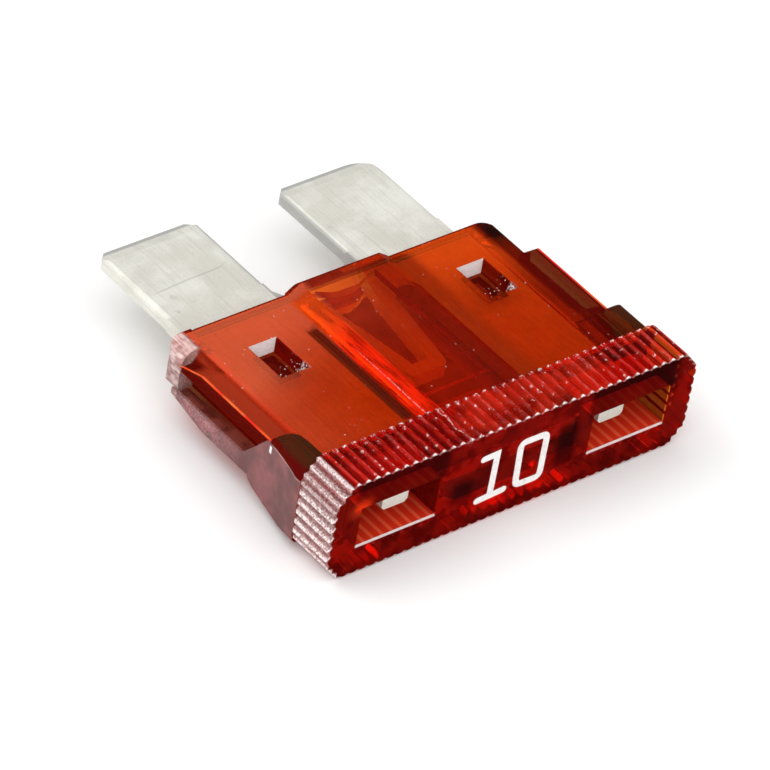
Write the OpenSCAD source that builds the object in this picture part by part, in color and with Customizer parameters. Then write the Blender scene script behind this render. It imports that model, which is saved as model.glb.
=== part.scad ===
// Blade fuse lying on its broad face: a clear red moulded housing, staked onto one stamped metal strip.
// X runs across the two blades, Y from the label face of the head to the blade tips, Z up.

/* [Overall] */
// Length over all, from the label face to the blade tips
fuse_length = 18.9; // [18.3:0.1:19.5]
// Width of the head over its serrations
head_width = 19.1; // [18.9:0.1:19.6]
// Thickness of the head over its serrations
head_thickness = 4.9; // [4.8:0.1:5.4]

/* [Head] */
// Depth of the head along Y
head_depth = 2.3; // [2.2:0.1:2.8]
// Width of the cut on each head corner, along X
corner_cut_x = 0.8; // [0.6:0.05:1]
// Height of the cut on each head corner, along Z
corner_cut_z = 0.95; // [0.8:0.05:1.1]
// Depth of the grip serrations
serration_depth = 0.17; // [0.08:0.01:0.22]
// Grip teeth along the top and along the bottom of the head
teeth_broad = 36; // [20:1:40]
// Grip teeth on each end of the head
teeth_end = 6; // [4:1:8]
// Grip teeth on each corner cut
teeth_corner = 3; // [2:1:4]

/* [Test windows] */
// Distance from the middle to the near edge of a window
window_near = 4; // [3.9:0.05:4.3]
// Width of a window along X
window_width = 4.15; // [3.8:0.05:4.2]
// Height of a window along Z
window_height = 1.9; // [1.6:0.05:2]
// Depth of a window along Y
window_depth = 1.9; // [1.7:0.05:2]

/* [Body] */
// Distance from the label face to the rear of the body
body_end = 12.1; // [11.9:0.05:12.6]
// Half width of the body at its middle plane
body_half = 8.75; // [8.65:0.05:8.8]
// Half width of the body at the top of its side walls
wall_top_half = 8.05; // [7.9:0.05:8.3]
// Half thickness of the side panels at the rear
panel_half_rear = 1.33; // [1.28:0.01:1.36]
// Half thickness of the side panels at the head
panel_half_front = 1.37; // [1.36:0.01:1.45]
// Half width of the flat top of the side panels
panel_flat = 7.6; // [7.5:0.05:7.8]
// Half thickness of the body at the outer edge of its rails
rail_thick_half = 1.15; // [1:0.05:1.2]
// Half width of the raised middle panel at its top
ridge_top = 2.1; // [1.9:0.05:2.3]
// Half width of the raised middle panel at its foot
ridge_foot = 2.7; // [2.45:0.05:2.9]
// Height of the raised middle panel above the side panels
ridge_rise = 0.4; // [0.3:0.05:0.5]

/* [Flanks] */
// Half width over the side rails
rail_half = 8.95; // [8.85:0.05:9.05]
// Half height of the channel between the two rails of a side
channel_half = 0.53; // [0.4:0.01:0.6]
// Distance from the label face to the rear end of the left rails
rail_end = 11.2; // [10.8:0.1:11.5]
// Distance from the label face to the rear end of the right rails
rail_end_right = 9.9; // [9.6:0.1:10.4]
// Half width over the lugs behind the head
lug_half = 9.45; // [9.3:0.05:9.5]
// Half thickness of the lugs
lug_thick_half = 2; // [1.85:0.05:2.05]

/* [Stakes] */
// Distance from the middle to the centre of a stake pit
stake_x = 5.5; // [5.2:0.05:5.8]
// Distance from the label face to the centre of a stake pit
stake_y = 8.9; // [8.6:0.05:9.4]
// Width of a stake pit along X
stake_width = 1.5; // [1.3:0.05:1.7]
// Length of a stake pit along Y
stake_length = 2.25; // [2.1:0.05:2.5]
// Depth of a stake pit below the panel's face
stake_depth = 0.62; // [0.5:0.02:0.8]

/* [Strip] */
// Thickness of the strip
strip_thickness = 0.65; // [0.6:0.01:0.7]
// Half width over the two blades
blade_outer = 7.2; // [7.1:0.05:7.3]
// Half of the gap between the two blades
blade_inner = 2.2; // [2.1:0.05:2.3]
// Width of the hairpin's legs
leg_width = 0.62; // [0.45:0.01:0.7]
// Clearance between the strip and the slot that holds it
strip_clearance = 0.05; // [0.03:0.01:0.08]

/* [Hidden] */
$fn = 48;
eps = 0.01;
overlap = 0.05;
far = 30;

head_half = head_width / 2;
head_thick_half = head_thickness / 2;
strip_half = strip_thickness / 2;

tooth_end_bevel = 0.08;
first_valley = 0.12;
window_lip = 0.08;
edge_round = 0.15;
rear_corner_round = 0.8;
top_corner_round = 1.2;
wall_mid = 0.35;
wall_split = 0.95;
channel_depth = 0.75;
channel_floor = rail_half - channel_depth;
channel_front_low = 6.5;
channel_front_high = 5.6;
rail_root = 0.2;
ramp_left = 2.2;
ramp_right = 0.4;
ramp_drop = 0.5;
lug_crown = 3.3;
lug_end_top = 4.9;
lug_end_low = 6;
lug_inner = 8.3;
lug_flare_start = 2.7;
lug_flare_end = 6;
lug_cut_top = 0.7;
lug_cut_low = 0.2;

corner_start = 10.9;
corner_low = 0.9;
corner_half = 8.9;
corner_round = 0.65;

stake_wall = 0.2;

chamber_half = 1.8;
chamber_thick_half = 0.7;
chamber_front = 4.3;
chamber_arc = 2.2;
chamber_arc_tip = 11.2;
web_least = 0.4;

shoulder_y = 2;
tab_width = 1.34;
tab_x = 5.7;
tab_end = 0.7;
tab_edge = 0.14;
terminal_inner = 2.8;
slot_rear = 10.5;
flare_start = 13.4;
coin_start = 14;
flare_in = 1.45;
leg_gap_rear = 1.05;
leg_gap_front = 0.42;
hairpin_inner_end = 6.35;
hairpin_end = 5.7;
hairpin_round = 0.4;
tip_bevel_length = 0.7;
tip_bevel_depth = 0.17;
side_bevel_width = 0.2;
side_bevel_depth = 0.09;
tip_corner = 0.4;
worn_corner = 1.2;

// Points along an arc about [x, y]
function arc(x, y, r, a0, a1, steps) = [
    for (i = [0 : steps])
        let (a = a0 + (a1 - a0) * i / steps)
            [x + r * cos(a), y + r * sin(a)]
];

// Unit vector square to the way from a to b, turned to the right of it
function inward(a, b) = let (d = b - a) [d[1], -d[0]] / norm(d);

// One serrated side from a to b: crests on the line, valleys a tooth's depth inside it
function serrated(a, b, teeth, depth) = [
    for (k = [0 : teeth - 1])
        for (half = [0 : 1])
            half == 0 && k == 0
                ? a + (b - a) / teeth * first_valley + inward(a, b) * depth
                : a + (b - a) * (k + half / 2) / teeth + inward(a, b) * (half == 0 ? depth : 0)
];

// Corners of the head's outline, clockwise from the top left
function head_corners(cut_x, cut_z) = [
    [-head_half, head_thick_half - cut_z],
    [-head_half + cut_x, head_thick_half],
    [head_half - cut_x, head_thick_half],
    [head_half, head_thick_half - cut_z],
    [head_half, -head_thick_half + cut_z],
    [head_half - cut_x, -head_thick_half],
    [-head_half + cut_x, -head_thick_half],
    [-head_half, -head_thick_half + cut_z]
];

function head_outline(c) = [
    for (i = [0 : 7])
        each serrated(c[i], c[(i + 1) % 8], [teeth_corner, teeth_broad, teeth_corner, teeth_end][i % 4],
                      serration_depth)
];

// Height at which the side walls meet the slope that runs from the flat top to the rails
function wall_top_z() = panel_half_front
    - (panel_half_front - rail_thick_half) * (wall_top_half - panel_flat) / (rail_half - panel_flat);

// Lifts the model so that the head's lowest teeth touch z = 0 and its box is centred in X and Y
module in_frame() {
    translate([0, -fuse_length / 2, head_thick_half]) children();
}

// Extrudes an outline drawn in X and Z along Y, from y0 to y1
module along_y(y0, y1) {
    translate([0, y1, 0]) rotate([90, 0, 0]) linear_extrude(height = y1 - y0) children();
}

// Extrudes an outline drawn in Y and Z along X, from x0 to x1
module along_x(x0, x1) {
    translate([x0, 0, 0]) rotate([90, 0, 90]) linear_extrude(height = x1 - x0) children();
}

// Extrudes an outline drawn in X and Y along Z, from z0 to z1
module along_z(z0, z1) {
    translate([0, 0, z0]) linear_extrude(height = z1 - z0) children();
}

module both_sides() {
    children();
    mirror([1, 0, 0]) children();
}

module both_faces() {
    children();
    mirror([0, 0, 1]) children();
}

module head_block() {
    b = tooth_end_bevel;
    t = head_thick_half;
    w = head_half;
    intersection() {
        along_y(0, head_depth) polygon(head_outline(head_corners(corner_cut_x, corner_cut_z)));
        along_x(-far, far) polygon([[0, -t + b], [b, -t], [head_depth - b, -t], [head_depth, -t + b],
                                    [head_depth, t - b], [head_depth - b, t], [b, t], [0, t - b]]);
        along_z(-far, far) polygon([[-w + b, 0], [w - b, 0], [w, b], [w, head_depth - b],
                                    [w - b, head_depth], [-w + b, head_depth], [-w, head_depth - b], [-w, b]]);
    }
}

// Outline in Y and Z of a slab that thins to the rear and has rounded rear edges
module slab_side(front_half, rear_half, y0, y1) {
    polygon(concat(
        [[y0, front_half]],
        arc(y1 - edge_round, rear_half - edge_round, edge_round, 90, 0, 4),
        arc(y1 - edge_round, -rear_half + edge_round, edge_round, 0, -90, 4),
        [[y0, -front_half]]
    ));
}

// Outline in X and Y of the body with rounded rear corners
module body_plan(half, r) {
    polygon(concat(
        [[-half, head_depth - eps], [half, head_depth - eps]],
        arc(half - r, body_end - r, r, 0, 90, 8),
        arc(-half + r, body_end - r, r, 90, 180, 8)
    ));
}

module side_panels() {
    draft = (body_half - wall_top_half) / (wall_top_z() - wall_mid);
    top_half = wall_top_half + draft * (wall_top_z() - wall_split);
    intersection() {
        along_x(-far, far) slab_side(panel_half_front, panel_half_rear, head_depth - eps, body_end);
        union() {
            along_z(-wall_split, wall_split) body_plan(body_half, rear_corner_round);
            along_z(-far, far) body_plan(top_half, top_corner_round);
        }
        along_y(0, far) drafted_sides();
    }
}

// Section in X and Z of the side panels, whose walls draw in from the middle plane to both faces
module drafted_sides() {
    t = panel_half_front;
    z = wall_top_z();
    w = wall_top_half;
    b = body_half;
    f = panel_flat;
    m = wall_mid;
    polygon([
        [-f, t], [f, t], [w, z], [b, m], [b, -m], [w, -z], [f, -t],
        [-f, -t], [-w, -z], [-b, -m], [-b, m], [-w, z]
    ]);
}

// Section in X and Z that lets the tops of the rails fall away from the side panels
module sloped_sides() {
    t = panel_half_front;
    polygon([
        [-panel_flat, t], [panel_flat, t], [rail_half, rail_thick_half], [rail_half, -t],
        [-rail_half, -t], [-rail_half, rail_thick_half]
    ]);
}

module middle_panel() {
    top = panel_half_front + ridge_rise;
    intersection() {
        along_x(-far, far) slab_side(top, panel_half_rear + ridge_rise, head_depth - eps, body_end);
        along_y(0, far) polygon([
            [-ridge_foot, -panel_half_rear], [-ridge_top, -panel_half_rear - ridge_rise], [-ridge_top, -far],
            [ridge_top, -far], [ridge_top, -panel_half_rear - ridge_rise], [ridge_foot, -panel_half_rear],
            [ridge_foot, panel_half_rear], [ridge_top, panel_half_rear + ridge_rise], [ridge_top, far],
            [-ridge_top, far], [-ridge_top, panel_half_rear + ridge_rise], [-ridge_foot, panel_half_rear]
        ]);
    }
}

// Rails of one side before the channel parts them, with rear ends that slope over the given run
module rails(end, run) {
    top = panel_half_rear;
    along_x(channel_floor - rail_root, rail_half) polygon([
        [head_depth - eps, top], [end - run, top], [end, rail_thick_half - ramp_drop],
        [end, -top + ramp_drop], [end - run, -top], [head_depth - eps, -top]
    ]);
}

// Channel along one side as far as the given end, with a slanted front end
module channel(end) {
    along_x(channel_floor, far) polygon([
        [channel_front_high, channel_half], [end, channel_half],
        [end, -channel_half], [channel_front_low, -channel_half]
    ]);
}

// Full block at the left rear corner, where the mould was filled, with rounded outer edges
module corner_block() {
    r = corner_round;
    w = corner_half;
    intersection() {
        along_z(-far, far) polygon(concat(
            [[-panel_flat, corner_start], [-w, corner_start]],
            arc(-w + r, body_end - r, r, 180, 90, 6),
            [[-panel_flat, body_end]]
        ));
        along_y(0, far) polygon(concat(
            [[-panel_flat, panel_half_rear]],
            arc(-w + r, panel_half_rear - r, r, 90, 180, 6),
            arc(-w + r, -corner_low + r, r, 180, 270, 6),
            [[-panel_flat, -corner_low]]
        ));
    }
}

// Point on the rounded back of a lug, a quarter of an ellipse in Y and Z from its crown to its end
function hump(a, end, low) = [
    lug_crown + (end - lug_crown) * cos(a),
    low + (lug_thick_half - low) * sin(a)
];

// Lug behind one end of the head, flaring out to the head's width
module lug() {
    flare = lug_half - rail_half;
    run = lug_flare_end - lug_flare_start;
    flare_radius = (run * run + flare * flare) / (2 * flare);
    intersection() {
        along_z(-far, far) difference() {
            polygon([[channel_floor, head_depth - eps], [lug_half, head_depth - eps],
                     [lug_half, lug_flare_end],
                     [channel_floor, lug_flare_end]]);
            translate([rail_half + flare_radius, lug_flare_end]) circle(r = flare_radius, $fn = 96);
        }
        along_x(0, far) polygon(concat(
            [[head_depth - eps, lug_thick_half]],
            [for (a = [90 : -11.25 : 0]) hump(a, lug_end_top, rail_thick_half)],
            [for (a = [0 : 11.25 : 90]) let (p = hump(a, lug_end_low, panel_half_rear)) [p[0], -p[1]]],
            [[head_depth - eps, -lug_thick_half]]
        ));
        along_y(0, far) polygon([
            [channel_floor, 0], [channel_floor, panel_half_front], [lug_inner, panel_half_front],
            [lug_inner, lug_thick_half],
            [lug_half - lug_cut_top, lug_thick_half], [lug_half, lug_thick_half - lug_cut_top],
            [lug_half, -lug_thick_half + lug_cut_low], [lug_half - lug_cut_low, -lug_thick_half],
            [lug_inner, -lug_thick_half],
            [lug_inner, -panel_half_front], [channel_floor, -panel_half_front]
        ]);
    }
}

// Pyramid pit pressed into one face of a side panel
module stake_pit() {
    w = stake_width / 2;
    l = stake_length / 2;
    s = stake_wall;
    top = panel_half_front;
    low = top - stake_depth;
    translate([stake_x, stake_y, 0]) intersection() {
        along_x(-far, far) polygon([[-l + s, low], [l - s, low], [l, top], [-l, top]]);
        along_y(-far, far) polygon([[-w + s, low], [w - s, low], [w, top], [-w, top]]);
    }
}

// Outline in X and Y of the hole in a terminal, as large as the floor of a pit
module stake_hole() {
    w = stake_width - 2 * stake_wall;
    l = stake_length - 2 * stake_wall;
    translate([stake_x - w / 2, stake_y - l / 2]) square([w, l]);
}

// Plastic that the staking pushed through the hole of a terminal
module stake_plug() {
    z = strip_half + 2 * strip_clearance;
    along_z(-z, z) stake_hole();
}

module strip_slot() {
    c = strip_clearance;
    w = blade_outer + c;
    h = strip_half + c;
    translate([-w, shoulder_y - c, -h]) cube([2 * w, far, 2 * h]);
}

// Window in the label face, with a small lip above and below, and the way in for the test tab
module test_window() {
    h = window_height / 2;
    l = window_lip;
    c = strip_clearance;
    along_x(window_near, window_near + window_width) polygon([
        [-eps, -h - l], [0, -h - l], [l, -h], [window_depth, -h],
        [window_depth, h], [l, h], [0, h + l], [-eps, h + l]
    ]);
    translate([tab_x - tab_width / 2 - c, tab_end, -strip_half - c])
        cube([tab_width + 2 * c, shoulder_y - tab_end, strip_thickness + 2 * c]);
}

// Room for the hairpin, closed at the rear by a rounded web above and below the strip
module element_chamber() {
    along_z(-chamber_thick_half, chamber_thick_half) difference() {
        translate([-chamber_half, chamber_front]) square([2 * chamber_half, far]);
        translate([0, chamber_arc_tip + chamber_arc]) circle(r = chamber_arc);
        translate([-far, body_end - web_least]) square([2 * far, far]);
    }
}

module housing() {
    color("firebrick") in_frame() union() {
        difference() {
            union() {
                head_block();
                difference() {
                    union() {
                        side_panels();
                        intersection() {
                            union() {
                                rails(rail_end_right, ramp_right);
                                mirror([1, 0, 0]) rails(rail_end, ramp_left);
                            }
                            along_y(0, far) sloped_sides();
                        }
                    }
                    channel(rail_end_right);
                    mirror([1, 0, 0]) channel(rail_end);
                }
                corner_block();
                middle_panel();
                both_sides() lug();
            }
            strip_slot();
            element_chamber();
            both_sides() test_window();
            both_sides() both_faces() stake_pit();
        }
        both_sides() stake_plug();
    }
}

// Outline of the strip's right half: test tab, shoulder, blade, flare, leg and half of the element's closed end
module half_outline() {
    leg_outer_rear = leg_gap_rear + leg_width;
    leg_outer_front = leg_gap_front + leg_width;
    slot_radius = (terminal_inner - leg_outer_rear) / 2;
    slot_x = leg_outer_rear + slot_radius;
    difference() {
        polygon(concat(
            [[tab_x - tab_width / 2, shoulder_y], [tab_x - tab_width / 2, tab_end],
             [tab_x + tab_width / 2, tab_end], [tab_x + tab_width / 2, shoulder_y],
             [blade_outer, shoulder_y], [blade_outer, fuse_length - tip_corner],
             [blade_outer - tip_corner, fuse_length], [blade_inner + tip_corner, fuse_length],
             [blade_inner, fuse_length - tip_corner], [blade_inner, flare_start],
             [flare_in, body_end], [leg_gap_rear, slot_rear],
             [leg_gap_front, hairpin_inner_end], [-overlap, hairpin_inner_end], [-overlap, hairpin_end]],
            arc(leg_outer_front - hairpin_round, hairpin_end + hairpin_round, hairpin_round, -90, 0, 6),
            arc(slot_x, slot_rear - slot_radius, slot_radius, 180, 0, 12),
            [[terminal_inner, shoulder_y]]
        ));
        stake_hole();
    }
}

// Section limits that coin the long edges and the tips of the blades
module coined_section() {
    h = strip_half;
    d = side_bevel_depth;
    s = side_bevel_width;
    both_sides() polygon([
        [blade_inner, h - d], [blade_inner + s, h], [blade_outer - s, h], [blade_outer, h - d],
        [blade_outer, -h + d], [blade_outer - s, -h], [blade_inner + s, -h], [blade_inner, -h + d]
    ]);
}

module coined_tip() {
    h = strip_half;
    polygon([
        [body_end, h], [fuse_length - tip_bevel_length, h], [fuse_length, h - tip_bevel_depth],
        [fuse_length, -h + tip_bevel_depth], [fuse_length - tip_bevel_length, -h], [body_end, -h]
    ]);
}

// Section limits that break the long edges of a test tab
module eased_tab() {
    h = strip_half;
    e = tab_edge;
    l = tab_x - tab_width / 2;
    r = tab_x + tab_width / 2;
    along_y(0, shoulder_y) polygon([
        [l, h - e], [l + e, h], [r - e, h], [r, h - e], [r, -h + e], [r - e, -h], [l + e, -h], [l, -h + e]
    ]);
}

// Outer tip corner of the right blade, worn round
module worn_tip() {
    r = worn_corner;
    along_z(-far, far) difference() {
        translate([blade_outer - r, fuse_length - r]) square([far, far]);
        translate([blade_outer - r, fuse_length - r]) circle(r = r);
    }
}

module fuse_strip() {
    color("gainsboro") in_frame() difference() {
        intersection() {
            both_sides() along_z(-strip_half, strip_half) half_outline();
            union() {
                both_sides() eased_tab();
                translate([-far, shoulder_y - eps, -far]) cube([2 * far, coin_start - shoulder_y + eps, 2 * far]);
                intersection() {
                    along_y(flare_start, far) coined_section();
                    along_x(-far, far) coined_tip();
                }
            }
        }
        worn_tip();
    }
}

housing();
fuse_strip();
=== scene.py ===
"""Automotive blade fuse: a clear red moulded housing on a stamped zinc strip, in a white studio."""

import bmesh
import bpy
import numpy as np
from mathutils import Matrix, Vector


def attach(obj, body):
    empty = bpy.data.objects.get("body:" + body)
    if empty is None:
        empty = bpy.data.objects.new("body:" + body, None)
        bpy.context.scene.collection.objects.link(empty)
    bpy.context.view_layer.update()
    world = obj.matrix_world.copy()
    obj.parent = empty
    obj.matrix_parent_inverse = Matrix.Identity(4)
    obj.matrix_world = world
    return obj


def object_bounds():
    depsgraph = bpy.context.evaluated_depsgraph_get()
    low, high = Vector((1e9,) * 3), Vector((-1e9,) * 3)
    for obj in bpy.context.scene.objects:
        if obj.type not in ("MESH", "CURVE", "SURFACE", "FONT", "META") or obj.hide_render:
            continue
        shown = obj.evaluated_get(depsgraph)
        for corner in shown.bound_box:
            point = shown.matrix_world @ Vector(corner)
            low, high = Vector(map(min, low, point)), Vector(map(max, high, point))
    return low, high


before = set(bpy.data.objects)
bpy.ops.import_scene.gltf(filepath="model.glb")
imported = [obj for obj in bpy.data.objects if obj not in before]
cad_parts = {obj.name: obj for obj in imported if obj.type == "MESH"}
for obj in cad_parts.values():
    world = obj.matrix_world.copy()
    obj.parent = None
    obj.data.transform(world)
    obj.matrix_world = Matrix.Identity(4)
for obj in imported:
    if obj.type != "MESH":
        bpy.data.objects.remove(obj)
CAD_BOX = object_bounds()
MM = 0.001

# Sizes and places on the fuse, in millimetres. A place in depth is measured from the label face,
# one in lift from the strip's middle plane, and one across from the middle of the fuse.

LABEL_Y = round(CAD_BOX[0][1] / MM, 2)
HEAD_HALF = round(CAD_BOX[1][0] / MM, 2)
HEAD_HALF_THICK = round(CAD_BOX[1][2] / MM, 2) / 2.0
MIDDLE_Z = HEAD_HALF_THICK
CORNER_CUT_ACROSS, CORNER_CUT_LIFT = 0.8, 0.95
WINDOW_ACROSS, WINDOW_STRIPE_PITCH = (3.9, 8.32), 0.486
MIDDLE_PANEL_DEPTH = (2.4, 11.7)
TROUGH_ACROSS, RIDGE_ACROSS = (-3.5, -2.95), (-2.88, -2.0)
PIT_ACROSS, PIT_DEPTH, PIT_LIFT = (4.62, 6.38), (7.68, 10.12), (0.65, 1.31)
HAIRPIN_DEPTH = (4.0, 11.5)
HEAD_END, BODY_END, BLADE_TIP = 2.3, 12.0, 18.7

# Shader maths


class Worth:
    """One socket of a material. Its operators add the Math node that the expression asks for."""

    def __init__(self, sheet, socket):
        self.sheet = sheet
        self.socket = socket

    def _sum(self, operation, first, second):
        return self.sheet.node("ShaderNodeMath", {"operation": operation}, {0: first, 1: second})

    def __add__(self, other):
        return self._sum("ADD", self, other)

    __radd__ = __add__

    def __sub__(self, other):
        return self._sum("SUBTRACT", self, other)

    def __rsub__(self, other):
        return self._sum("SUBTRACT", other, self)

    def __mul__(self, other):
        return self._sum("MULTIPLY", self, other)

    __rmul__ = __mul__

    def __truediv__(self, other):
        return self._sum("DIVIDE", self, other)

    def __rtruediv__(self, other):
        return self._sum("DIVIDE", other, self)

    def __neg__(self):
        return self._sum("SUBTRACT", 0.0, self)

    def __abs__(self):
        return self._sum("ABSOLUTE", self, 0.0)

    def least(self, other):
        return self._sum("MINIMUM", self, other)

    def most(self, other):
        return self._sum("MAXIMUM", self, other)

    def wave(self):
        return self._sum("SINE", self, 0.0)

    def step(self, low, high):
        """0 below low, 1 above high, and a smooth rise between the two."""
        return self.sheet.node(
            "ShaderNodeMapRange",
            {"interpolation_type": "SMOOTHSTEP"},
            {"Value": self, "From Min": low, "From Max": high},
        )

    def between(self, low, high, soft):
        """1 from low to high and 0 elsewhere, with a rise and a fall as wide as twice soft."""
        rise = self.step(low - soft, low + soft)
        return rise * (1.0 - self.step(high - soft, high + soft))


def strongest(first, *others):
    """At each point the largest of the given values."""
    for other in others:
        first = first.most(other)
    return first


class Sheet:
    """One node tree, of a material or of the world."""

    def __init__(self, name, tree=None, output="ShaderNodeOutputMaterial"):
        if tree is None:
            self.material = bpy.data.materials.new(name)
            self.material.use_nodes = True
            tree = self.material.node_tree
        else:
            self.material = None
        self.tree = tree
        self.tree.nodes.clear()
        self.output = self.tree.nodes.new(output)

    def node(self, kind, settings=None, inputs=None, output=0):
        """A node of that kind: its settings first, then the value or link of each socket."""
        made = self.tree.nodes.new(kind)
        for name, value in (settings or {}).items():
            setattr(made, name, value)
        for name, value in (inputs or {}).items():
            socket = made.inputs[name]
            if isinstance(value, Worth):
                self.tree.links.new(value.socket, socket)
            elif isinstance(value, tuple) and len(value) == 3 and socket.type == "RGBA":
                socket.default_value = (*value, 1.0)
            else:
                socket.default_value = value
        return Worth(self, made.outputs[output])

    def place(self):
        """The three Object coordinates, in millimetres."""
        self.spot = self.node("ShaderNodeTexCoord", output="Object")
        split = self.node("ShaderNodeSeparateXYZ", inputs={0: self.spot}).socket.node
        return [Worth(self, split.outputs[k]) * 1000.0 for k in range(3)]

    def facing(self):
        """The three parts of the surface's own direction."""
        normal = self.node("ShaderNodeNewGeometry", output="Normal")
        split = self.node("ShaderNodeSeparateXYZ", inputs={0: normal}).socket.node
        return [Worth(self, split.outputs[k]) for k in range(3)]

    def noise(self, per_mm, detail=3.0, rough=0.55, stretch=(1.0, 1.0, 1.0)):
        """Cloudy noise with about per_mm lumps in a millimetre, drawn out by stretch."""
        at = self.node(
            "ShaderNodeVectorMath",
            {"operation": "MULTIPLY"},
            {0: self.spot, 1: tuple(1000.0 * per_mm * s for s in stretch)},
        )
        return self.node(
            "ShaderNodeTexNoise",
            inputs={"Vector": at, "Scale": 1.0, "Detail": detail, "Roughness": rough},
            output="Fac",
        )

    def specks(self, per_mm, size, seed=0.0):
        """1 inside small round spots, about per_mm cells in a millimetre, and 0 outside."""
        at = self.node(
            "ShaderNodeVectorMath",
            {"operation": "MULTIPLY_ADD"},
            {0: self.spot, 1: (1000.0 * per_mm,) * 3, 2: (seed, seed, seed)},
        )
        far = self.node(
            "ShaderNodeTexVoronoi", inputs={"Vector": at, "Scale": 1.0}, output="Distance"
        )
        return 1.0 - far.step(size * 0.6, size)

    def blend(self, factor, first, second):
        """The colour first where factor is 0, and second where it is 1."""
        sockets = {0: factor, 6: first, 7: second}
        return self.node("ShaderNodeMix", {"data_type": "RGBA"}, sockets, output=2)

    def layered(self, colour, *layers):
        """The colour with others laid over it in turn, each one where its own factor is 1."""
        for factor, over in layers:
            colour = self.blend(factor, colour, over)
        return colour

    def mixed(self, factor, first, second):
        """The shader first where factor is 0, and second where it is 1."""
        return self.node("ShaderNodeMixShader", inputs={0: factor, 1: first, 2: second})

    def bump(self, height, depth_mm):
        return self.node(
            "ShaderNodeBump", inputs={"Height": height, "Distance": depth_mm * MM, "Strength": 1.0}
        )

    def finish(self, surface, volume=None):
        self.tree.links.new(surface.socket, self.output.inputs["Surface"])
        if volume is not None:
            self.tree.links.new(volume.socket, self.output.inputs["Volume"])
        return self.material


# Clear red plastic


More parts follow.
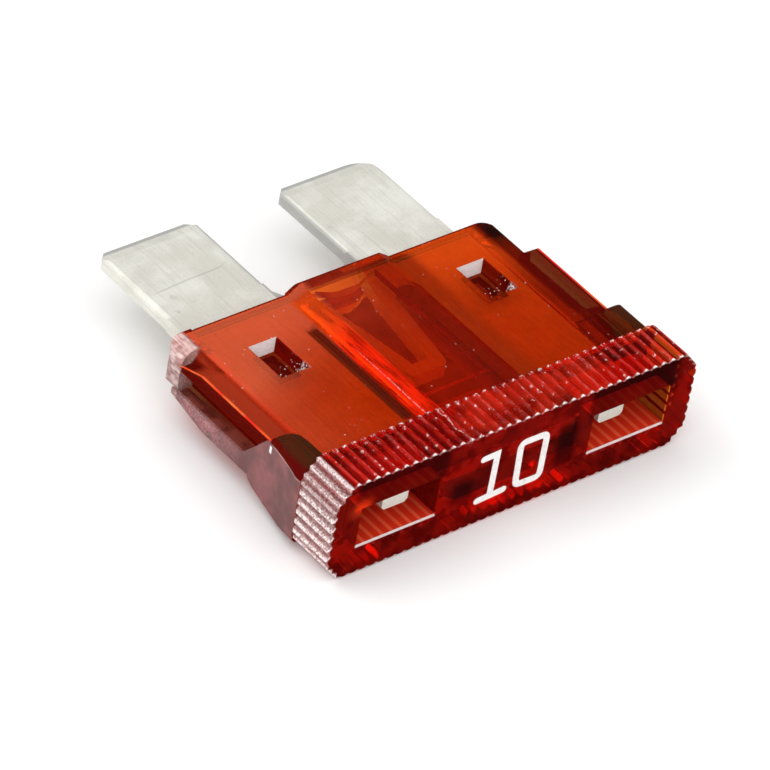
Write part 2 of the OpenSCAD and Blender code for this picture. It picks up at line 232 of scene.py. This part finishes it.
class HousingPlaces:
    """Where a point lies on the housing. Depth runs from the label face towards the blades, lift
    from the strip's middle plane upwards and side from the middle outwards, in millimetres. Each
    named place is 1 on itself and 0 away from it, and the noises are those that finishes share."""

    def __init__(self, s):
        self.x, y, z = s.place()
        self.depth, self.lift, self.side = y - LABEL_Y, z - MIDDLE_Z, abs(self.x)
        self.across, self.along, self.upward = s.facing()
        self.murk = s.noise(0.8, 2.0)
        self.blotch = s.noise(1.1, 2.0, 0.6).step(0.42, 0.6)
        self.fibre = s.noise(5.0, 2.0, 0.6, (1.0, 0.12, 1.0)).step(0.35, 0.6)
        self.grain = s.noise(11.0, 2.0, 0.6)
        self.streaks = s.noise(4.0, 2.0, 0.65, (3.0, 0.35, 3.0))
        self.in_head = 1.0 - self.depth.step(HEAD_END - 0.06, HEAD_END + 0.04)
        self.behind = self.depth.step(HEAD_END, HEAD_END + 0.15)
        self.mark_label_face()
        self.mark_windows()
        self.mark_teeth()
        self.mark_panels()
        self.mark_sides()
        self.mark_insides()

    def mark_label_face(self):
        """The label face, with painted shade over and between the windows, and its orange corner of
        painted glow.
        """
        x, lift = self.x, self.lift
        self.front = (-self.along).step(0.5, 0.7) * (1.0 - self.depth.step(0.1, 0.3))
        # Painted shade: the label face darkened over the windows and in a patch on each side of the
        # rating.
        lintel = lift.step(0.85, 1.05) * self.side.between(3.6, 8.6, 0.3)
        left_shade = x.between(-3.5, -1.9, 0.5) * lift.between(-1.0, 0.4, 0.4)
        right_shade = x.between(2.0, 3.4, 0.4) * lift.between(-1.2, 1.3, 0.4)
        self.shade = self.front * strongest(lintel, left_shade, right_shade)
        # Painted light: an orange glow on the label face's upper left corner.
        self.painted_glow = self.front * (-x).between(7.75, 8.7, 0.35) * lift.between(0.75, 1.35, 0.35)

    def mark_windows(self):
        """The walls of the test windows, their sills with pale stripes of painted light, and the
        walls at their outer ends.
        """
        depth, flat = self.depth, abs(self.lift)
        window = self.side.between(*WINDOW_ACROSS, 0.05) * self.in_head * depth.step(0.04, 0.1)
        self.window = window * (1.0 - flat.step(1.0, 1.1))
        self.sill = self.window * self.upward.step(0.5, 0.8)
        # Painted light: pale stripes across the sills, where the teeth underneath bend the light.
        self.light_stripes = (self.x * (2.0 * np.pi / WINDOW_STRIPE_PITCH)).wave().step(0.0, 0.9)
        cheek = (-(self.across * self.x)).step(3.0, 5.0) * self.side.between(7.4, 8.6, 0.05)
        self.cheek = cheek * depth.between(0.05, 6.0, 0.03) * (1.0 - flat.step(1.1, 1.2))

    def mark_teeth(self):
        """The grip teeth by how far they lie below their crests, which is the least distance to
        the head's flat sides and cut corners, and the head's wall towards the body."""
        inset, self.sunk = HEAD_HALF - self.side, HEAD_HALF_THICK - abs(self.lift)
        slant = float(np.hypot(1.0 / CORNER_CUT_ACROSS, 1.0 / CORNER_CUT_LIFT))
        past_cut = (inset / CORNER_CUT_ACROSS + self.sunk / CORNER_CUT_LIFT - 1.0) / slant
        below_crest = inset.least(self.sunk).least(past_cut)
        self.crest = 1.0 - below_crest.step(0.03, 0.11)
        self.row = 1.0 - below_crest.step(0.05, 0.14)
        self.teeth = self.upward.step(0.3, 0.5) * self.lift.step(2.1, 2.2) * self.in_head
        rear = self.along.step(0.5, 0.7) * self.depth.between(2.2, 2.45, 0.04)
        self.head_rear = rear * abs(self.lift).step(1.3, 1.4)

    def mark_panels(self):
        """The top of the body: painted shade on its right margin and corner, on the middle panel
        and on the trough at its left, a painted glow on the ridge there, and the parts that the
        strip lights up."""
        x, depth = self.x, self.depth
        self.top = self.upward.step(0.3, 0.6) * self.lift.step(0.9, 1.1) * self.behind
        self.margin = self.top * x.between(7.35, 9.0, 0.12)
        self.corner = self.top * x.step(7.0, 7.6) * depth.step(9.8, 11.0)
        self.shaded_middle = self.top * x.between(-1.9, 3.6, 0.4) * depth.between(*MIDDLE_PANEL_DEPTH, 0.2)
        self.trough = self.top * x.between(*TROUGH_ACROSS, 0.06) * depth.between(3.2, 9.7, 0.2)
        self.glow = self.top * x.between(*RIDGE_ACROSS, 0.08) * depth.between(2.4, 11.5, 0.2)
        self.rim = depth.step(BODY_END - 0.1, BODY_END - 0.04) * self.upward.step(0.1, 0.3)
        over_strip = (depth.step(5.0, 11.5) + 0.6 * (-x).step(3.5, 8.0)).least(1.0)
        over_strip = over_strip * (1.0 - 0.7 * x.between(-1.9, 3.4, 0.3))
        self.lit = self.top * over_strip * (1.0 - self.corner.most(self.margin))

    def mark_sides(self):
        """The body's sides, darkened with painted shade: the rails with a painted highlight, the
        channels' ledges, the lugs with painted shade in the hollow beside them, and the filled
        corner block."""
        depth, lift, side, upward = self.depth, self.lift, self.side, self.upward
        left = -self.x
        self.edges = side.step(8.0, 8.25) * self.behind
        self.rail_top = self.top * left.step(7.9, 8.1)
        rail = upward.step(0.1, 0.3) * side.between(8.84, 9.0, 0.03)
        self.rail = rail * depth.between(4.9, 11.2, 0.3)
        self.ledge = self.edges * upward.step(0.5, 0.8) * (-lift).between(0.45, 0.9, 0.05)
        hollow = (side - 8.57 + 0.49 * (4.69 - depth)).step(-0.06, 0.06)
        hollow = hollow * depth.between(2.34, 4.75, 0.06)
        self.hollow = hollow * upward.step(0.2, 0.4) * lift.step(0.9, 1.0)
        self.flank = side.step(8.8, 8.88) * self.behind * (-lift).step(0.45, 0.6)
        lug = side.step(8.9, 8.95) * self.behind * (1.0 - (depth + 0.85 * lift).step(6.0, 6.1))
        self.lug = lug * (1.0 - lift.step(1.12, 1.18))
        self.filled = left.step(7.95, 8.2) * depth.step(10.75, 11.0)

    def mark_insides(self):
        """The stake pits, and the floor of the chamber under the hairpin, both in painted shade."""
        along_chamber = self.depth.between(3.5, 11.7, 0.2) * (1.0 - self.side.step(1.8, 1.9))
        floor_of_chamber = self.upward.step(0.5, 0.8) * (-self.lift).between(0.4, 1.2, 0.05)
        self.well = floor_of_chamber * along_chamber
        in_pit = self.side.between(*PIT_ACROSS, 0.03) * self.depth.between(*PIT_DEPTH, 0.03)
        self.in_pit = in_pit * self.lift.between(*PIT_LIFT, 0.03)


def red_glass(s, at):
    """Glass that mirrors the pale studio only a little on its outside, and fully from within."""
    tint, glass_ior = (1.0, 0.9, 0.86), 1.45
    waves = s.noise(0.35, 1.0, 0.5, (1.0, 0.5, 1.0)) + 0.12 * s.noise(6.0, 1.0)
    ripple = s.bump(waves, 0.02)
    haze_of_wear = 0.03 + 0.06 * at.murk
    shiny = s.node(
        "ShaderNodeBsdfPrincipled",
        inputs={
            "Base Color": tint,
            "Roughness": haze_of_wear,
            "Transmission Weight": 1.0,
            "IOR": glass_ior,
            "Specular Tint": (1.0, 0.1, 0.08),
            "Normal": ripple,
        },
    )
    still = s.node(
        "ShaderNodeBsdfRefraction",
        inputs={"Color": tint, "Roughness": haze_of_wear, "IOR": glass_ior, "Normal": ripple},
    )
    inside = s.node("ShaderNodeNewGeometry", output="Backfacing")
    return s.mixed(0.88 - 0.88 * inside, shiny, still)


def haze_colour(s, at):
    """The red of the haze, place by place, with light and shade painted in: orange light over the
    strip, painted shade at the sides and in the windows, nearly black in the right rear corner."""
    x, depth, murk = at.x, at.depth, at.murk
    # Painted shade: dark red on the body's sides, the windows and the walls at their ends, the
    # right margin and corner, the rear rim and the stake pits.
    painted_shade = strongest(at.edges, at.cheek, at.margin, at.corner, at.rim, at.in_pit, at.window)
    # Painted light: orange where the strip behind lights the plastic, redder towards the right.
    over_strip = s.blend(x.step(-1.0, 3.0), (0.96, 0.2, 0.09), (0.98, 0.11, 0.01))
    # Painted highlight and shade: the teeth light red on their crests and dark in their valleys.
    tooth = s.blend(at.crest, (0.12, 0.004, 0.003), (0.6, 0.015, 0.008))
    # Painted shade in the hollow beside each lug.
    hollow = s.blend(at.side.step(9.0, 9.25), (0.06, 0.018, 0.007), (0.13, 0.004, 0.004))
    # Painted glow along the ridge, more orange towards the rear.
    ridge = s.blend(depth.step(7.5, 11.0), (0.95, 0.022, 0.003), (1.0, 0.1, 0.012))
    # Painted highlight: bright red turning orange along the rails' outer top edge.
    rail = s.blend(murk.step(0.4, 0.7), (0.9, 0.03, 0.015), (1.0, 0.2, 0.05))
    ledge = s.blend(murk.step(0.4, 0.6), (0.14, 0.02, 0.018), (0.3, 0.07, 0.055))
    # Painted light: the sills brighter red, with the pale stripes.
    sill = s.blend(at.light_stripes * (0.5 + 0.5 * murk), (0.8, 0.035, 0.012), (1.0, 0.15, 0.06))
    return s.layered(
        (0.7, 0.026, 0.004),
        (at.lit * 0.8, over_strip),
        # Painted shade, nearly black in the right rear corner.
        (painted_shade, (0.12, 0.004, 0.002)),
        (at.corner, (0.015, 0.004, 0.003)),
        # Painted shade on the middle panel's right part and on the chamber floor under the hairpin.
        (at.shaded_middle * x.step(-0.5, 1.5), (0.2, 0.02, 0.008)),
        (at.well, (0.045, 0.012, 0.008)),
        (at.rail_top, (0.38, 0.035, 0.012)),
        (at.teeth, tooth),
        # Painted light: a brighter red band over the middle of the teeth.
        (0.5 * at.teeth * x.between(-2.5, 5.0, 1.0), (0.95, 0.04, 0.012)),
        # Painted shade: the label face darker red, and near black where its painted shade and dark
        # blotches lie.
        (at.front, (0.36, 0.004, 0.001)),
        (at.shade.most(0.8 * at.front * at.blotch), (0.02, 0.001, 0.001)),
        (at.hollow, hollow),
        (at.head_rear, (0.42, 0.01, 0.004)),
        # Painted glow on the label face's corner.
        (at.painted_glow, (0.85, 0.04, 0.006)),
        # Painted shade in the trough beside the ridge.
        (at.trough, (0.06, 0.011, 0.004)),
        (at.glow, ridge),
        (at.rail, rail),
        (at.ledge, ledge),
        (at.sill, sill),
    )


def haze_share(at):
    """How much of the haze there is, place by place, against the glass."""
    depth, murk = at.depth, at.murk
    ridge = at.glow * (0.3 + 0.5 * at.fibre) * (1.0 - 0.5 * depth.step(8.0, 11.0))
    toothed = (0.2 + 0.35 * murk.step(0.4, 0.6)).most(0.65 * at.side.step(5.0, 8.0))
    return strongest(
        0.06 + 0.12 * murk + 0.05 * at.fibre,
        0.78 * at.edges,
        0.85 * at.window,
        at.front * (0.3 + 0.35 * at.blotch),
        at.shade * (0.6 + 0.3 * murk),
        0.6 * at.painted_glow,
        0.62 * at.margin,
        0.85 * at.corner,
        0.7 * at.trough,
        ridge,
        0.4 * at.lit,
        0.85 * at.rail,
        0.7 * at.rim,
        at.teeth * toothed,
        0.45 * at.head_rear,
        0.8 * at.cheek,
        at.hollow * (0.6 + 0.3 * murk),
        0.65 * at.in_pit,
        0.9 * at.well,
        at.shaded_middle * (0.1 + 0.25 * murk),
    )


def red_haze(s, at):
    """The matte red that softens what shows through the plastic, with light and shade painted into
    its colour.
    """
    return s.node(
        "ShaderNodeBsdfPrincipled",
        inputs={"Base Color": haze_colour(s, at), "Roughness": 0.5, "Specular IOR Level": 0.0},
    )


def scuffed_and_lit_ends(s, at):
    """The pale left end of the head, partly scuffed and partly painted highlight, whitest on the
    tooth beside the top.
    """
    grain = at.grain
    outer_skin = 1.0 - abs(at.along).step(0.5, 0.8)
    left_end = (-at.x).step(8.68, 8.78) * at.in_head * outer_skin
    first_tooth = left_end * at.sunk.between(0.05, 0.34, 0.05) * at.upward.step(0.3, 0.5)
    # Painted highlights along the rows of tooth crests.
    rows = at.row * (0.6 + 0.35 * grain.step(0.38, 0.5))
    ends = left_end * (0.5 + 0.2 * grain.step(0.4, 0.6)).most(rows)
    ends = ends * (1.0 - 0.45 * at.upward.step(0.3, 0.5) * at.lift.step(0.9, 1.2))
    return left_end, ends.most(0.95 * first_tooth * grain.step(0.3, 0.42))


def bright_edges(s, at):
    """The edges that catch the light: tooth ends, window lips, the pits' rear walls, and one
    spot on the left lug."""
    grain, depth, lift, upward = at.grain, at.depth, at.lift, at.upward
    toe = upward.step(0.4, 0.5) * (1.0 - depth.step(0.06, 0.1)) * lift.step(1.3, 1.4)
    heel = upward.step(0.4, 0.5) * depth.step(2.12, 2.16) * at.in_head * lift.step(1.3, 1.4)
    toe = toe * (0.15 + 0.85 * at.crest * grain.step(0.3, 0.5))
    heel = 0.8 * heel * at.crest * grain.step(0.45, 0.6)
    lip = upward.step(0.4, 0.5) * (1.0 - depth.step(0.06, 0.08)) * 0.75
    lip = lip * (1.0 - abs(lift).step(1.1, 1.15))
    pit = at.side.between(4.65, 6.4, 0.05) * depth.between(9.65, 10.1, 0.05)
    pit = pit * abs(lift).step(0.7, 0.74) * (-at.along).step(0.6, 0.8) * 0.93
    spot = (-at.x).step(8.85, 8.9) * depth.between(4.74, 4.9, 0.03)
    return strongest(toe, heel, lip, pit, spot * lift.between(0.68, 1.05, 0.05))


def fine_marks(s, at):
    """Thin pale marks: a painted sheen and painted sparkles on the teeth, painted sparkles in the
    pits, a thread along the ridge, the mould's seam over the head, a painted highlight along the
    lugs' brims, and dust on the panels."""
    x, depth, lift, grain = at.x, at.depth, at.lift, at.grain
    crests = at.teeth * at.crest
    # Painted sheen and sparkles on the tooth crests.
    sheen = 0.07 * crests * at.streaks.step(0.45, 0.7)
    sparkle = 0.6 * crests * s.specks(3.0, 0.3, 7.0) * grain.step(0.45, 0.55)
    # Painted sparkles in the stake pits.
    pit_sparkle = 0.9 * at.in_pit * s.specks(5.5, 0.24, 1.0) * (1.0 - depth.step(8.6, 9.0))
    stud = x.between(5.85, 6.3, 0.05).most(x.between(-5.15, -4.7, 0.05))
    stud = stud * depth.between(7.75, 8.2, 0.08) * lift.between(0.85, 1.33, 0.04)
    stud = 0.85 * stud * grain.step(0.42, 0.55)
    thread = 1.0 - abs(x + 2.5 - 0.04 * at.murk).step(0.01, 0.03)
    thread = 0.35 * thread * at.glow * grain.step(0.42, 0.58) * (1.0 - depth.step(6.0, 8.0))
    seam = 1.0 - abs(x + 2.75 + 0.5 * (at.murk - 0.5)).step(0.015, 0.035)
    seam = seam * lift.step(2.1, 2.2) * at.in_head * (0.08 + 0.4 * grain.step(0.48, 0.6))
    # Painted highlight along the top edge of each lug's side.
    brim_highlight = 0.7 * at.side.step(9.0, 9.05) * at.behind * lift.between(1.1, 1.17, 0.03)
    dust = s.specks(2.6, 0.1, 3.0) * at.top * at.murk.step(0.5, 0.6) * (1.0 - at.in_pit)
    return strongest(sheen, sparkle, pit_sparkle, stud, thread, seam, brim_highlight, 0.55 * dust)


def clear_red():
    """Clear red plastic: it takes the light by how far the light goes in it, so thin walls over
    the metal glow orange and thick ones turn dark red. A red haze softens what shows through, and
    light and shade are painted into its colour. The left end's teeth are scuffed pale with painted
    highlights, the lugs' sides carry pale scuffing and a painted reflection, the filled corner is
    scuffed pale, and edges catch the light."""
    s = Sheet("clear_red_plastic")
    at = HousingPlaces(s)
    body = s.mixed(haze_share(at), red_glass(s, at), red_haze(s, at))

    grain, murk = at.grain, at.murk
    left_end, ends = scuffed_and_lit_ends(s, at)
    # The lugs' sides: pale scuffing, and a painted reflection of the white studio in grey and pink.
    scuff_and_reflection = at.flank.most(at.lug)
    scuff_and_reflection_share = 0.25 + 0.25 * murk + 0.3 * grain.step(0.45, 0.6) * at.depth.step(6.0, 9.0)
    corner_block = at.filled * (0.42 + 0.4 * at.streaks.step(0.35, 0.65))
    bright = bright_edges(s, at)
    share = strongest(ends, corner_block, scuff_and_reflection * scuff_and_reflection_share, bright, fine_marks(s, at))

    # Painted highlights along the left end's tooth crests, broken by grain.
    crest_highlight_and_grain = at.row.most(0.3 * grain.step(0.45, 0.6)) * (0.4 + 0.6 * grain.step(0.42, 0.56))
    mottle = s.noise(2.2, 1.0).step(0.42, 0.6)
    pale = s.layered(
        s.blend(grain.step(0.35, 0.6), (0.5, 0.32, 0.31), (0.98, 0.86, 0.84)),
        (left_end, s.blend(crest_highlight_and_grain, (0.36, 0.2, 0.2), (1.0, 0.88, 0.86))),
        (scuff_and_reflection, s.blend(murk.step(0.4, 0.7), (0.3, 0.22, 0.22), (0.58, 0.27, 0.28))),
        (at.filled, s.blend(mottle, (0.5, 0.33, 0.31), (0.93, 0.71, 0.68))),
        (bright, (1.0, 0.9, 0.88)),
    )
    scuff = s.node(
        "ShaderNodeBsdfPrincipled",
        inputs={"Base Color": pale, "Roughness": 0.45, "Normal": s.bump(grain, 0.03)},
    )
    absorption = s.node(
        "ShaderNodeVolumeAbsorption", inputs={"Color": (0.98, 0.6, 0.0), "Density": 2500.0}
    )
    return s.finish(s.mixed(share, body, scuff), absorption)


# The other finishes


def coated_zinc():
    """Off-white coated zinc: matte, drawn along the blades, grey at their tips and edges, with a
    cross line on the left blade, and the hairpin's legs a little brown from above and painted with
    a pale highlight on their sides."""
    s = Sheet("coated_zinc")
    x, y, _ = s.place()
    depth, side = y - LABEL_Y, abs(x)
    upward = s.facing()[2]
    clouds = s.noise(0.6, 4.0)
    drawn = s.noise(5.0, 3.0, 0.6, (1.0, 0.06, 1.0))
    rolled = s.noise(4.0, 3.0, 0.6, (0.08, 1.0, 1.0))
    grit = s.noise(9.0, 2.0, 0.6)
    outside = depth.step(BODY_END, BODY_END + 0.2)
    stain = outside * s.specks(0.55, 0.1, 5.0) * grit.step(0.3, 0.6)
    line = 1.0 - abs(depth - 15.95 - 0.06 * x - 0.15 * (clouds - 0.5)).step(0.02, 0.07)
    line = outside * line * (-x).between(3.0, 6.6, 0.3)
    tip = depth.step(BLADE_TIP - 0.08, BLADE_TIP + 0.04)
    edge = (tip + outside * (1.0 - side.step(2.26, 2.34))).least(1.0)
    hairpin = (1.0 - side.step(1.95, 2.05)) * depth.between(*HAIRPIN_DEPTH, 0.1)
    tint = s.layered(
        s.blend(clouds.step(0.35, 0.7), (0.71, 0.695, 0.62), (0.85, 0.84, 0.77)),
        (0.5 * drawn.step(0.5, 0.7), (0.6, 0.59, 0.54)),
        (0.4 * grit.step(0.58, 0.7), (0.5, 0.49, 0.44)),
        (strongest(0.75 * edge, 0.4 * line, 0.5 * stain), (0.38, 0.38, 0.37)),
        (0.45 * hairpin * upward.step(0.5, 0.8), (0.42, 0.27, 0.22)),
        # Painted highlight: the hairpin's upright sides near white.
        (hairpin * (1.0 - abs(upward).step(0.3, 0.6)), (0.98, 0.95, 0.92)),
    )
    metal = s.node(
        "ShaderNodeBsdfPrincipled",
        inputs={
            "Base Color": tint,
            "Metallic": 0.35,
            "Roughness": 0.42 + 0.25 * drawn,
            "Normal": s.bump(0.5 * drawn + 0.25 * rolled + 0.4 * clouds + 0.2 * grit, 0.03),
        },
    )
    return s.finish(metal)


def white_print():
    """White pad print, a little thin and worn at its edges."""
    s = Sheet("white_print")
    s.place()
    worn = s.noise(7.0, 3.0)
    tint = s.blend(worn.step(0.45, 0.8), (0.88, 0.86, 0.85), (0.72, 0.6, 0.58))
    ink = s.node(
        "ShaderNodeBsdfPrincipled",
        inputs={"Base Color": tint, "Roughness": 0.5, "Normal": s.bump(worn, 0.01)},
    )
    return s.finish(ink)


def pale_floor():
    """White studio floor, which keeps the soft shadow and lights the fuse from below."""
    s = Sheet("pale_floor")
    return s.finish(s.node("ShaderNodeBsdfDiffuse", inputs={"Color": (0.99, 0.99, 0.99)}))


# The printed rating


def side_steps(line, closed):
    """Unit directions into and out of each point of a drawn line."""
    if closed:
        before, after = line - np.roll(line, 1, 0), np.roll(line, -1, 0) - line
    else:
        steps = np.diff(line, axis=0)
        before, after = np.vstack([steps[:1], steps]), np.vstack([steps, steps[-1:]])
    return (
        before / np.linalg.norm(before, axis=1, keepdims=True),
        after / np.linalg.norm(after, axis=1, keepdims=True),
    )


def stroke_sides(points, width, closed):
    """The two edges of a stroke: each point of the drawn line moved by half the width to the left
    and to the right, along the mean of the two directions beside it turned a quarter, and
    stretched by one over the cosine of half the bend so that a corner keeps the width."""
    line = np.asarray(points, float)
    before, after = side_steps(line, closed)
    left = np.stack([-(before + after)[:, 1], (before + after)[:, 0]], 1)
    left = left / np.linalg.norm(left, axis=1, keepdims=True)
    square = np.stack([-after[:, 1], after[:, 0]], 1)
    reach = 0.5 * width / np.clip((left * square).sum(1, keepdims=True), 0.4, 1.0)
    return line + left * reach, line - left * reach


def round_end(centre, direction, radius, steps=8):
    """A half circle about centre from its left to its right, bulging along direction."""
    turn = np.linspace(0.5 * np.pi, -0.5 * np.pi, steps)[1:-1, None]
    square = np.array([-direction[1], direction[0]])
    return centre + radius * (np.cos(turn) * direction + np.sin(turn) * square)


def rounded(corners, radius, steps=6):
    """A closed line through the corners, each one swapped for a curve that leaves one side and
    joins the next at the radius: p = (1-t)^2 a + 2 t (1-t) corner + t^2 b."""
    line = np.asarray(corners, float)
    t = np.linspace(0.0, 1.0, steps)[:, None]
    out = []
    for k in range(len(line)):
        here, last, nxt = line[k], line[k - 1], line[(k + 1) % len(line)]
        a = here + (last - here) * radius / np.linalg.norm(last - here)
        b = here + (nxt - here) * radius / np.linalg.norm(nxt - here)
        out.append((1 - t) ** 2 * a + 2 * t * (1 - t) * here + t**2 * b)
    return np.vstack(out)


def outward(piece):
    """Merges doubled points and turns every face outwards."""
    work = bmesh.new()
    work.from_mesh(piece.data)
    bmesh.ops.remove_doubles(work, verts=work.verts, dist=1e-7)
    bmesh.ops.recalc_face_normals(work, faces=work.faces)
    work.to_mesh(piece.data)
    work.free()


def rating_print(name, strokes, face_y):
    """The printed rating. An open stroke is one outline with half-round ends, a closed one is a
    ring. Each stands its own thickness of ink off the label face, closed down to the face."""
    corners, faces, start = [], [], 0

    def wall(n, first, second):
        a = np.arange(n)
        b = (a + 1) % n
        faces.extend((start + np.stack([a + first, b + first, b + second, a + second], 1)).tolist())

    for points, width, closed, ink in strokes:
        one, two = stroke_sides(points, width, closed)
        if closed:
            rows, n = (one, two, one, two), len(one)
            levels = (face_y - ink, face_y - ink, face_y, face_y)
            wall(n, 0, n)
            wall(n, n, 3 * n)
            wall(n, 3 * n, 2 * n)
            wall(n, 2 * n, 0)
        else:
            line = np.asarray(points, float)
            before, after = side_steps(line, False)
            last_end = round_end(line[-1], after[-1], 0.5 * width)
            first_end = round_end(line[0], -before[0], 0.5 * width)
            edge = np.vstack([one, last_end, two[::-1], first_end])
            rows, n, levels = (edge, edge), len(edge), (face_y - ink, face_y)
            wall(n, 0, n)
            faces.append([start + k for k in range(n)])
            faces.append([start + n + k for k in range(n)])
        for row, level in zip(rows, levels):
            corners.append(np.stack([row[:, 0], np.full(n, level), row[:, 1]], 1))
        start += n * len(rows)
    mesh = bpy.data.meshes.new(name)
    mesh.from_pydata((np.vstack(corners) * MM).tolist(), [], faces)
    mesh.validate()
    piece = bpy.data.objects.new(name, mesh)
    bpy.context.scene.collection.objects.link(piece)
    outward(piece)
    return piece


# The fuse

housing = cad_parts["housing"]
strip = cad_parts["fuse_strip"]


def dress(node, material):
    for slot in node.material_slots:
        slot.link = "OBJECT"
        slot.material = material
    if not node.material_slots:
        node.data.materials.append(material)


dress(housing, clear_red())
dress(strip, coated_zinc())

STROKE = 0.33
THIN_INK, FULL_INK = 0.012, 0.016
ONE = [(-1.84, 1.05), (-1.13, 1.08), (-1.14, -1.05)]
ONE_FOOT = [(-1.80, -1.16), (-0.42, -1.08)]
ZERO_CORNERS = [(0.11, 1.12), (1.49, 1.10), (1.50, -1.15), (0.21, -1.12)]
ZERO_ROUND = 0.3
face_middle = np.array([0.0, MIDDLE_Z])
rating = rating_print(
    "rating_print",
    [
        (np.array(ONE) + face_middle, STROKE, False, THIN_INK),
        (np.array(ONE_FOOT) + face_middle, STROKE, False, FULL_INK),
        (rounded(ZERO_CORNERS, ZERO_ROUND) + face_middle, STROKE, True, FULL_INK),
    ],
    LABEL_Y,
)
rating.data.materials.append(white_print())
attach(rating, "root")

# Floor, camera and lights, in metres

FLOOR_HALF = 1.2
floor_mesh = bpy.data.meshes.new("studio_floor")
floor_mesh.from_pydata(
    [
        (-FLOOR_HALF, -FLOOR_HALF, 0.0),
        (FLOOR_HALF, -FLOOR_HALF, 0.0),
        (FLOOR_HALF, FLOOR_HALF, 0.0),
        (-FLOOR_HALF, FLOOR_HALF, 0.0),
    ],
    [],
    [(0, 1, 2, 3)],
)
floor = bpy.data.objects.new("studio_floor", floor_mesh)
bpy.context.scene.collection.objects.link(floor)
floor_mesh.materials.append(pale_floor())

CAMERA_SPOT = (-0.153524, -0.153238, 0.171364)
CAMERA_AIM = (0.55781387, 0.5518938, -0.6198846)
CAMERA_RIGHT = (0.7734723, -0.61651812, 0.14712585)
camera_data = bpy.data.cameras.new("photo_camera")
camera_data.sensor_fit = "HORIZONTAL"
camera_data.sensor_width = 36.0
camera_data.lens = 312.4
camera_data.clip_start = 0.01
camera_data.clip_end = 10.0
camera = bpy.data.objects.new("photo_camera", camera_data)
bpy.context.scene.collection.objects.link(camera)
aim = Vector(CAMERA_AIM).normalized()
right = Vector(CAMERA_RIGHT)
right = (right - aim * right.dot(aim)).normalized()
turn = Matrix((right, right.cross(aim), -aim)).transposed().to_4x4()
camera.matrix_world = Matrix.Translation(CAMERA_SPOT) @ turn
bpy.context.scene.camera = camera


def soft_lamp(name, place, size, power):
    """A square soft box at place that faces the fuse, with its power in watts."""
    data = bpy.data.lights.new(name, "AREA")
    data.shape = "SQUARE"
    data.size = size
    data.energy = power
    lamp = bpy.data.objects.new(name, data)
    bpy.context.scene.collection.objects.link(lamp)
    turned = (-Vector(place)).to_track_quat("-Z", "Y").to_matrix().to_4x4()
    lamp.matrix_world = Matrix.Translation(place) @ turned


soft_lamp("key_soft_box", (-0.25, 0.25, 0.45), 0.30, 0.5)
soft_lamp("fill_soft_box", (0.45, -0.2, 0.3), 0.30, 0.2)

BRIGHT_SIDE = (-0.42, -0.36, 0.83)
world = bpy.data.worlds.new("studio_light")
world.use_nodes = True
sky = Sheet("studio_light", world.node_tree, "ShaderNodeOutputWorld")
way = sky.node("ShaderNodeTexCoord", output="Generated")
toward = sky.node(
    "ShaderNodeVectorMath", {"operation": "DOT_PRODUCT"}, {0: way, 1: BRIGHT_SIDE}, "Value"
)
tent = sky.node(
    "ShaderNodeBackground",
    inputs={"Color": (1.0, 1.0, 1.0), "Strength": 0.36 + 0.95 * toward.step(0.05, 0.75)},
)
sky.finish(tent)
bpy.context.scene.world = world
bpy.context.scene.view_settings.view_transform = "Standard"
